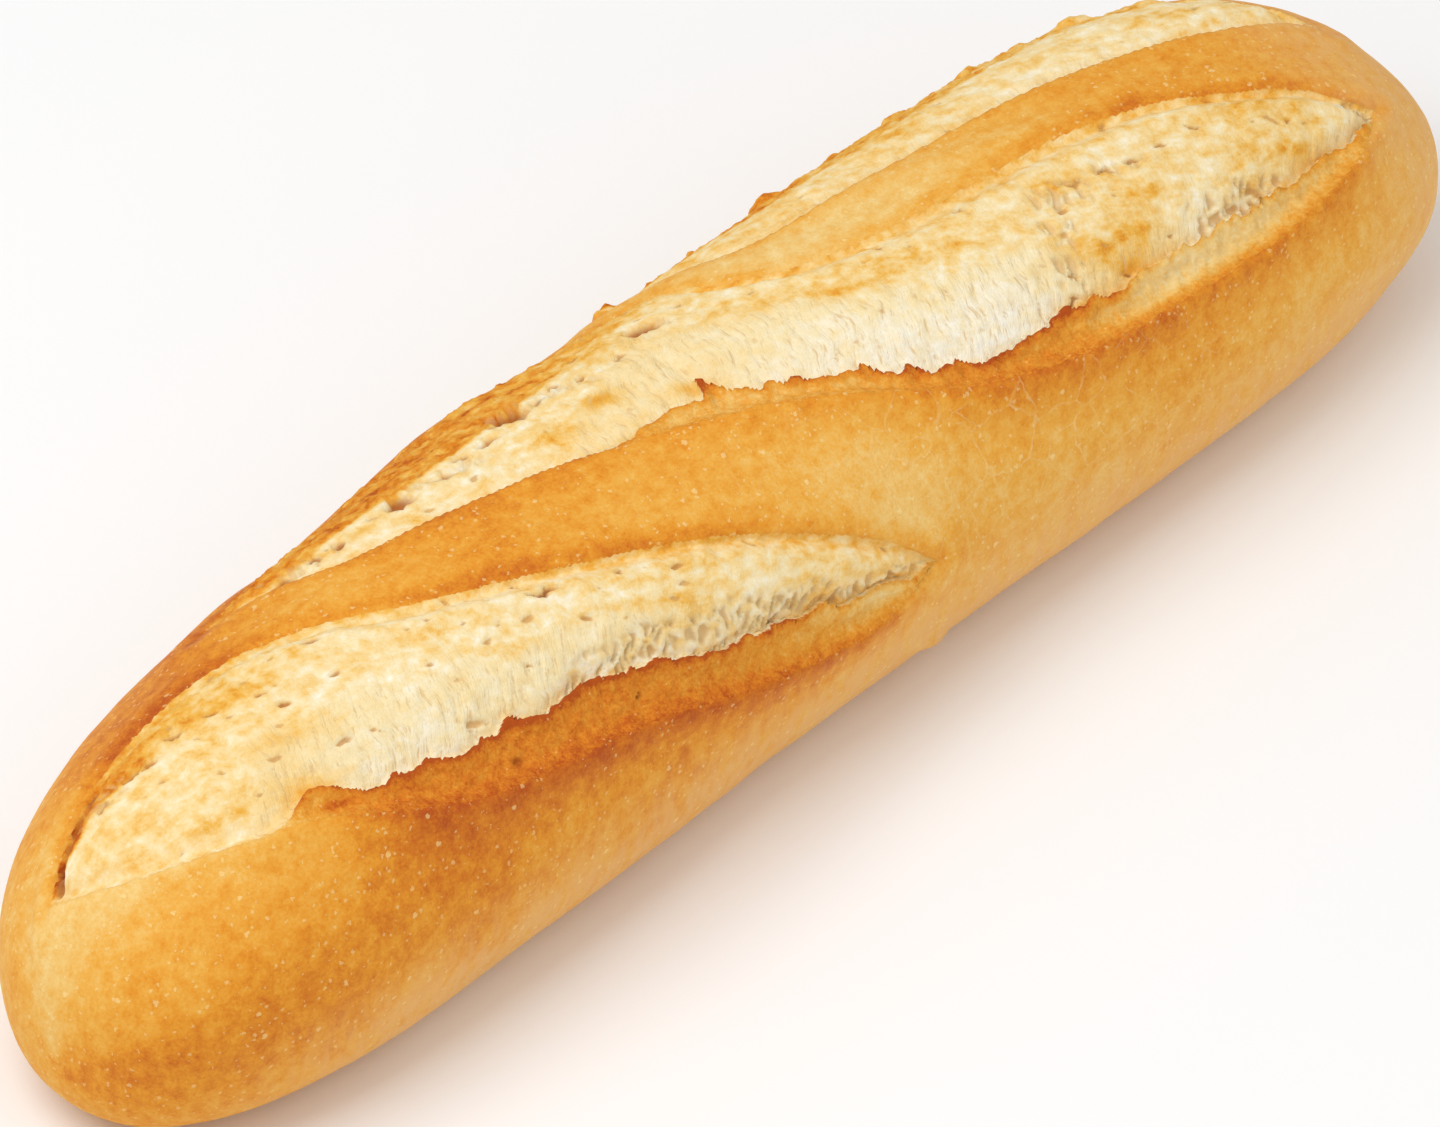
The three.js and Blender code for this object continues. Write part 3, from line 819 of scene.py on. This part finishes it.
def texture_tree():
    """Geometry nodes that tear the crumb into strands, cells and pores, and make the crust uneven."""
    inputs = {"Geometry": "NodeSocketGeometry", "Material": "NodeSocketMaterial"}
    inputs.update({name: "NodeSocketFloat" for name in TEXTURE_SIZES})
    outputs = {"Geometry": "NodeSocketGeometry"}
    tree, given, result = start_group("GeometryNodeTree", "bread_texture", inputs, outputs)

    def attribute(name, kind="FLOAT"):
        node = add_node(tree, "GeometryNodeInputNamedAttribute", {"Name": name}, data_type=kind)
        return node.outputs["Attribute"]

    def sized(vector, along, across):
        """Divides a vector by a size along the cut and one across it, and moves it on by the seed."""
        sizes = add_node(tree, "ShaderNodeCombineXYZ", {"X": along, "Y": across, "Z": along}).outputs[0]
        divided = calculate_vector(tree, "DIVIDE", vector, sizes)
        return calculate_vector(tree, "ADD", divided, given["Seed"])

    def height_of(pattern, height, share=1.0):
        """A pattern from 0 to 1 as a height from -height to height, over a share of the skin."""
        centred = calculate(tree, "MULTIPLY_ADD", pattern, 2.0, -1.0)
        return times(tree, times(tree, centred, height), share)

    grain = attribute("grain", "FLOAT_VECTOR")
    edge_in = attribute("edge_in")
    torn_in = attribute("torn_in")
    fibres = attribute("fibres")
    exposed = fade(tree, edge_in, -0.2, 0.5)
    crumb = times(tree, exposed, fade(tree, torn_in, 0.0, 0.6))
    shelf = calculate(tree, "SUBTRACT", fade(tree, edge_in, -2.0, 0.5), crumb, clamp=True)
    rough = calculate(tree, "MULTIPLY_ADD", attribute("rim"), 0.8, shelf)

    position = add_node(tree, "GeometryNodeInputPosition").outputs[0]
    millimetres = stretch(tree, position, (1 / MM,) * 3)
    height = add_node(tree, "ShaderNodeSeparateXYZ", {0: millimetres}).outputs["Z"]
    above_sole = fade(tree, height, 0.2, 8.0)

    lumps = noise(tree, sized(millimetres, given["Lump Size"], given["Lump Size"]), 1.0, 2.0)
    tears = noise(tree, sized(grain, given["Tear Size"], given["Tear Size"]), 1.0, 3.0, 0.6)
    strands = noise(tree, sized(grain, given["Strand Width"], given["Strand Length"]), 1.0, 2.5, 0.6)
    shelf_grain = noise(tree, sized(millimetres, given["Shelf Grain"], given["Shelf Grain"]), 1.0, 3.0, 0.6)
    strand_share = calculate(tree, "MULTIPLY_ADD", crumb, 0.12, times(tree, fibres, 0.85))

    wall = walls(tree, sized(grain, given["Cell Width"], given["Cell Length"]), 1.0, CELL_RANDOMNESS)
    cell_bowl = times(tree, fade(tree, wall, 0.03, 0.3), attribute("cells"))

    pore_width = times(tree, given["Pore Spacing"], 0.5)
    pore_place = sized(grain, given["Pore Spacing"], pore_width)
    pore = add_node(tree, "ShaderNodeTexVoronoi", {"Vector": pore_place, "Scale": 1.0, "Randomness": 1.0})
    chance = add_node(tree, "ShaderNodeSeparateXYZ", {0: pore.outputs["Color"]}).outputs[0]
    pore_reach = fade(tree, chance, 0.72, 1.0, 0.0, 0.38)
    pore_share = calculate(tree, "SUBTRACT", crumb, times(tree, fibres, 0.5), clamp=True)
    pore_bowl = calculate(tree, "SUBTRACT", pore_reach, pore.outputs["Distance"])
    pore_bowl = times(tree, fade(tree, pore_bowl, 0.0, 0.22), pore_share)

    raised = height_of(lumps, given["Lump Height"], above_sole)
    for part in (height_of(tears, given["Tear Height"], exposed),
                 height_of(strands, given["Strand Depth"], strand_share),
                 height_of(shelf_grain, given["Shelf Roughness"], rough)):
        raised = calculate(tree, "ADD", raised, part)
    for bowl, depth in ((cell_bowl, given["Cell Depth"]), (pore_bowl, given["Pore Depth"])):
        raised = calculate(tree, "SUBTRACT", raised, times(tree, bowl, depth))
    normal = add_node(tree, "GeometryNodeInputNormal").outputs[0]
    push = add_node(tree, "ShaderNodeVectorMath", {0: normal, 3: times(tree, raised, MM)},
                    operation="SCALE").outputs[0]

    geometry = given["Geometry"]
    for name, value in (("pore_bowl", pore_bowl), ("strands", strands)):
        stored = {"Geometry": geometry, "Name": name, "Value": value}
        geometry = add_node(tree, "GeometryNodeStoreNamedAttribute", stored, data_type="FLOAT",
                            domain="POINT").outputs["Geometry"]
    geometry = add_node(tree, "GeometryNodeSetPosition", {"Geometry": geometry, "Offset": push}).outputs[0]
    geometry = add_node(tree, "GeometryNodeRealizeInstances", {"Geometry": geometry}).outputs[0]
    finished = {"Geometry": geometry, "Material": given["Material"]}
    geometry = add_node(tree, "GeometryNodeSetMaterial", finished).outputs[0]
    tree.links.new(geometry, result["Geometry"])
    return tree


def texture(mesh, material):
    """The mesh with its fine texture, as a plain mesh with one material."""
    draft = bpy.data.objects.new("draft_loaf", mesh)
    bpy.context.scene.collection.objects.link(draft)
    modifier = draft.modifiers.new("texture", "NODES")
    modifier.node_group = texture_tree()
    values = {**TEXTURE_SIZES, "Material": material}
    for item in modifier.node_group.interface.items_tree:
        if item.in_out == "INPUT" and item.name in values:
            modifier[item.identifier] = values[item.name]
    evaluated = draft.evaluated_get(bpy.context.evaluated_depsgraph_get())
    finished = bpy.data.meshes.new_from_object(evaluated)
    bpy.data.objects.remove(draft)
    return finished


# ---------------------------------------------------------------- baked finish
CRUST_SHADES = (
    (0.0, colour(245, 214, 146)), (0.2, colour(240, 195, 112)), (0.4, colour(237, 174, 72)),
    (0.6, colour(230, 151, 44)), (0.8, colour(211, 119, 32)), (1.0, colour(184, 84, 28)),
)
CRUMB_SHADES = (
    (0.0, colour(253, 246, 226)), (0.2, colour(248, 228, 180)), (0.4, colour(245, 209, 137)),
    (0.6, colour(238, 180, 76)), (0.8, colour(224, 138, 36)), (1.0, colour(182, 80, 22)),
)
SHELF_SHADES = (
    (0.0, colour(247, 226, 174)), (0.2, colour(245, 212, 144)), (0.4, colour(242, 194, 106)),
    (0.6, colour(235, 163, 58)), (0.8, colour(222, 131, 38)), (1.0, colour(186, 84, 28)),
)
DUST_SHADE = colour(236, 182, 114)
SPECK_SHADE = colour(253, 220, 150)
CRACKLE_SHADE = colour(252, 218, 150)
# painted shade in the gaps between the crumb's torn strands
STRAND_GAP_PAINTED_SHADE = colour(224, 187, 128)
# painted shade inside the crumb's open cells
CELL_PAINTED_SHADE = colour(225, 189, 132)
# painted shade inside pores and cracks: over pale crumb, and over browned crumb darkened further
PORE_PAINTED_SHADE = colour(216, 170, 104)
BROWNED_PORE_PAINTED_SHADE = colour(160, 74, 22)
SHELF_CRUMB_SHADE = colour(250, 206, 130)
# painted shade in the pits of the baked shelf
SHELF_PIT_PAINTED_SHADE = colour(140, 58, 24)
CRUST_ROUGHNESS = 0.58
CRUMB_ROUGHNESS = 0.85
SHINE = 0.12
BUMP_STRENGTH = 0.7
BUMP_DEPTH = 0.35


def dots(tree, place, scale, chance, size):
    """Small round marks: 1 inside a mark, 0 outside, over a chance of the cells of a pattern."""
    pattern = add_node(tree, "ShaderNodeTexVoronoi", {"Vector": place, "Scale": scale, "Randomness": 1.0})
    luck = add_node(tree, "ShaderNodeSeparateColor", {0: pattern.outputs["Color"]}).outputs[0]
    reach = fade(tree, luck, 1 - chance, 1.0, 0.0, size)
    return fade(tree, calculate(tree, "SUBTRACT", reach, pattern.outputs["Distance"]), 0.0, 0.05)


def crust_group():
    """The baked skin: amber to brown, mottled, with pale blister specks and a few crackle lines."""
    tree, given, result = start_finish("crust", (), ("Bake", "Crackle", "Dusting"))
    place = given["Place"]
    broad = noise(tree, place, 0.11, 3.0, 0.6)
    patchy = noise(tree, place, 0.45, 3.0, 0.6)
    grainy = noise(tree, place, 1.9, 3.0, 0.7)
    bake = add_noise(tree, given["Bake"], broad, 0.36)
    bake = add_noise(tree, bake, patchy, 0.5)
    bake = add_noise(tree, bake, grainy, 0.42)
    bake = add_noise(tree, bake, noise(tree, stretch(tree, place, (0.5, 0.5, 0.17)), 1.0, 3.0, 0.6), 0.3)
    shade = ramp(tree, bake, CRUST_SHADES)
    streaky = noise(tree, stretch(tree, place, (0.42, 0.42, 0.13)), 1.0, 3.0, 0.6)
    dusted = times(tree, fade(tree, streaky, 0.32, 0.62, 0.25, 0.9), given["Dusting"])
    shade = blend(tree, dusted, shade, DUST_SHADE)

    shifted = bend(tree, place, 1.6, 2.0, 0.9)
    specks = times(tree, dots(tree, shifted, 0.85, 0.9, 0.3), 0.4)
    blisters = times(tree, dots(tree, shifted, 0.36, 0.6, 0.2), 0.5)
    marks = calculate(tree, "MAXIMUM", specks, blisters)
    shade = blend(tree, marks, shade, SPECK_SHADE)

    moved = bend(tree, place, 0.3, 3.0, 2.4)
    wall = walls(tree, moved, 0.12, 1.0)
    cracks = times(tree, fade(tree, wall, 0.028, 0.004), given["Crackle"])
    cracks = times(tree, cracks, fade(tree, patchy, 0.36, 0.6))
    shade = blend(tree, times(tree, cracks, 0.42), shade, CRACKLE_SHADE)

    relief = calculate(tree, "MULTIPLY_ADD", patchy, 0.8, times(tree, grainy, 0.35))
    relief = calculate(tree, "MULTIPLY_ADD", marks, 0.35, relief)
    relief = calculate(tree, "MULTIPLY_ADD", cracks, 0.3, relief)
    return end_finish(tree, result, shade, relief)


def crumb_group():
    """The torn crumb: cream strands toasted in streaks along the cut, with painted shade in the gaps
    between the strands, inside the open cells and inside the pores.
    """
    values = ("Toast", "Strands", "Fibres", "Cells", "Hollow", "Burnt")
    tree, given, result = start_finish("torn_crumb", ("Grain",), values)
    streaks = noise(tree, stretch(tree, given["Grain"], (0.16, 0.5, 1.0)), 1.0, 4.0, 0.62)
    blots = noise(tree, given["Place"], 0.4, 4.0, 0.6)
    grainy = noise(tree, given["Place"], 2.4, 3.0, 0.7)
    not_fibres = fade(tree, given["Fibres"], 0.0, 1.0, 1.0, 0.4)
    toast = add_noise(tree, given["Toast"], streaks, times(tree, not_fibres, 0.7))
    toast = add_noise(tree, toast, blots, times(tree, not_fibres, 0.95))
    toast = add_noise(tree, toast, grainy, 0.18)
    shade = ramp(tree, toast, CRUMB_SHADES)

    thread = noise(tree, stretch(tree, given["Grain"], (1.3, 0.26, 1.0)), 1.0, 3.0, 0.62)
    # painted shade: the gaps between the strands and the low places of their relief are coloured darker
    fine_gaps = fade(tree, thread, 0.44, 0.33)
    gaps = calculate(tree, "MAXIMUM", fine_gaps, fade(tree, given["Strands"], 0.42, 0.3))
    gap_share = fade(tree, given["Fibres"], 0.0, 1.0, 0.1, 0.66)
    shade = blend(tree, times(tree, gaps, gap_share), shade, STRAND_GAP_PAINTED_SHADE)
    # painted shade inside the open cells, laid on the same pattern of cells as their sunken middles
    sizes = (1 / TEXTURE_SIZES["Cell Width"], 1 / TEXTURE_SIZES["Cell Length"], 1.0)
    seed = (TEXTURE_SIZES["Seed"],) * 3
    cell_place = calculate_vector(tree, "ADD", stretch(tree, given["Grain"], sizes), seed)
    wall = walls(tree, cell_place, 1.0, CELL_RANDOMNESS)
    cell = times(tree, fade(tree, wall, 0.07, 0.22), given["Cells"])
    shade = blend(tree, times(tree, cell, 0.8), shade, CELL_PAINTED_SHADE)
    # painted shade inside pores and cracks, going from pale to browned crumb with how browned each is
    hollow_painted_shade = blend(tree, given["Burnt"], PORE_PAINTED_SHADE, BROWNED_PORE_PAINTED_SHADE)
    hollow = fade(tree, given["Hollow"], 0.12, 0.65, 0.0, 0.8)
    shade = blend(tree, hollow, shade, hollow_painted_shade)

    relief = calculate(tree, "MULTIPLY_ADD", thread, fade(tree, given["Fibres"], 0.0, 1.0, 0.7, 1.6),
                       times(tree, blots, 0.7))
    relief = calculate(tree, "MULTIPLY_ADD", grainy, 0.4, relief)
    return end_finish(tree, result, shade, relief)


def shelf_group():
    """The baked shelf between the crumb and the ear: rough, orange to brown, with pale crumbs and painted
    shade in its pits.
    """
    tree, given, result = start_finish("baked_shelf", (), ("Bake", "Hollow"))
    place = given["Place"]
    blots = noise(tree, place, 0.5, 4.0, 0.65)
    grainy = noise(tree, place, 1.7, 4.0, 0.72)
    bake = add_noise(tree, given["Bake"], blots, 0.55)
    bake = add_noise(tree, bake, grainy, 0.6)
    shade = ramp(tree, bake, SHELF_SHADES)
    crumbs = times(tree, dots(tree, place, 0.9, 0.5, 0.24), 0.4)
    shade = blend(tree, crumbs, shade, SHELF_CRUMB_SHADE)
    # painted shade in the shelf's pits
    shade = blend(tree, times(tree, given["Hollow"], 0.85), shade, SHELF_PIT_PAINTED_SHADE)
    relief = calculate(tree, "MULTIPLY_ADD", grainy, 0.9, blots)
    return end_finish(tree, result, shade, relief)


def baked_material():
    """The loaf's finish: crust outside the slashes, and crumb and baked shelf inside them."""
    paint = bpy.data.materials.new("baked_loaf")
    paint.use_nodes = True
    tree = paint.node_tree
    shader = tree.nodes["Principled BSDF"]
    shader.inputs["Specular IOR Level"].default_value = SHINE

    def attribute(name, output="Fac"):
        return add_node(tree, "ShaderNodeAttribute", attribute_name=name).outputs[output]

    def use(group, sockets):
        return add_node(tree, "ShaderNodeGroup", sockets, node_tree=group).outputs

    place = stretch(tree, add_node(tree, "ShaderNodeTexCoord").outputs["Object"], (1 / MM,) * 3)
    # where painted shade fills the pores, pits and cracks
    hollow = calculate(tree, "MAXIMUM", attribute("hollow"), attribute("pore_bowl"))
    values = {name.title(): attribute(name) for name in ("bake", "crackle", "dusting")}
    crust = use(crust_group(), {"Place": place, **values})
    values = {name.title(): attribute(name) for name in ("toast", "strands", "fibres", "cells", "burnt")}
    grain = attribute("grain", "Vector")
    crumb = use(crumb_group(), {"Place": place, "Grain": grain, "Hollow": hollow, **values})
    shelf = use(shelf_group(), {"Place": place, "Bake": attribute("shelf_bake"), "Hollow": hollow})

    ragged = noise(tree, place, 1.6, 2.0, 0.6)
    torn_in = add_noise(tree, attribute("torn_in"), ragged, 0.9)
    edge_in = add_noise(tree, attribute("edge_in"), ragged, 0.5)
    crumb_share = fade(tree, torn_in, -0.15, 0.15)
    open_share = fade(tree, edge_in, -0.3, 0.3)
    shade = blend(tree, crumb_share, shelf["Colour"], crumb["Colour"])
    shade = blend(tree, open_share, crust["Colour"], shade)
    tree.links.new(shade, shader.inputs["Base Color"])

    heights = {0: crumb_share, 2: shelf["Height"], 3: crumb["Height"]}
    relief = add_node(tree, "ShaderNodeMix", heights).outputs[0]
    relief = add_node(tree, "ShaderNodeMix", {0: open_share, 2: crust["Height"], 3: relief}).outputs[0]
    depth = {"Strength": BUMP_STRENGTH, "Distance": BUMP_DEPTH * MM, "Height": relief}
    bump = add_node(tree, "ShaderNodeBump", depth)
    tree.links.new(bump.outputs[0], shader.inputs["Normal"])
    roughness = fade(tree, open_share, 0.0, 1.0, CRUST_ROUGHNESS, CRUMB_ROUGHNESS)
    tree.links.new(roughness, shader.inputs["Roughness"])
    return paint


# ---------------------------------------------------------------- camera, light and floor
CAMERA_AZIMUTH = -47.2  # degrees round the loaf from -Y
CAMERA_HEIGHT = 42  # degrees above the floor
CAMERA_DISTANCE = 2.5
CAMERA_LENS = 414.55
AIM_HEIGHT = 0.025  # of the point looked at, above the floor
AIM_ASIDE = -0.00024  # of that point, to the camera's right
AIM_DOWN = -0.00712  # of that point, along the camera's up
KEY_LIGHT = ((-0.5, 0.15, 1.0), 0.8, 6.3)  # place, size, power
FILL_LIGHT = ((0.4, -0.9, 0.8), 1.2, 2.4)
SURROUND_LIGHT = 0.58
FLOOR_REACH = 4
FLOOR_SHADE = (0.96, 0.96, 0.96, 1)
FLOOR_ROUGHNESS = 0.9


def build_camera():
    azimuth = math.radians(CAMERA_AZIMUTH)
    height = math.radians(CAMERA_HEIGHT)
    level = math.cos(height)
    back = Vector((math.sin(azimuth) * level, -math.cos(azimuth) * level, math.sin(height)))
    turn = (-back).to_track_quat("-Z", "Y")
    aim = Vector((0, -middle_line() * MM, AIM_HEIGHT))
    aim += turn @ Vector((AIM_ASIDE, AIM_DOWN, 0))
    camera = bpy.data.objects.new("camera", bpy.data.cameras.new("camera"))
    bpy.context.scene.collection.objects.link(camera)
    camera.data.lens = CAMERA_LENS
    camera.data.clip_start = 0.1
    camera.data.clip_end = 50
    camera.location = aim + back * CAMERA_DISTANCE
    camera.rotation_mode = "QUATERNION"
    camera.rotation_quaternion = turn
    bpy.context.scene.camera = camera


def area_light(name, place, size, power):
    light = bpy.data.lights.new(name, "AREA")
    light.size = size
    light.energy = power
    lamp = bpy.data.objects.new(name, light)
    lamp.location = place
    lamp.rotation_mode = "QUATERNION"
    lamp.rotation_quaternion = (-Vector(place)).to_track_quat("-Z", "Y")
    bpy.context.scene.collection.objects.link(lamp)


def build_studio():
    scene = bpy.context.scene
    scene.view_settings.view_transform = "Standard"
    world = bpy.data.worlds.new("studio")
    world.use_nodes = True
    surround = world.node_tree.nodes["Background"].inputs
    surround["Color"].default_value = (1, 1, 1, 1)
    surround["Strength"].default_value = SURROUND_LIGHT
    scene.world = world
    area_light("key", *KEY_LIGHT)
    area_light("fill", *FILL_LIGHT)
    build_floor()


def build_floor():
    corners = [(x * FLOOR_REACH, y * FLOOR_REACH, 0) for x, y in ((-1, -1), (1, -1), (1, 1), (-1, 1))]
    mesh = bpy.data.meshes.new("floor")
    mesh.from_pydata(corners, [], [(0, 1, 2, 3)])
    floor = bpy.data.objects.new("floor", mesh)
    bpy.context.scene.collection.objects.link(floor)
    paint = bpy.data.materials.new("floor_paint")
    paint.use_nodes = True
    shader = paint.node_tree.nodes["Principled BSDF"]
    shader.inputs["Base Color"].default_value = FLOOR_SHADE
    shader.inputs["Roughness"].default_value = FLOOR_ROUGHNESS
    mesh.materials.append(paint)


# ---------------------------------------------------------------- the scene
build_camera()
build_studio()
loaf = bpy.data.objects.new("baguette_loaf", texture(build_skin(), baked_material()))
bpy.context.scene.collection.objects.link(loaf)
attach(loaf, "root")
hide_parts("baguette")
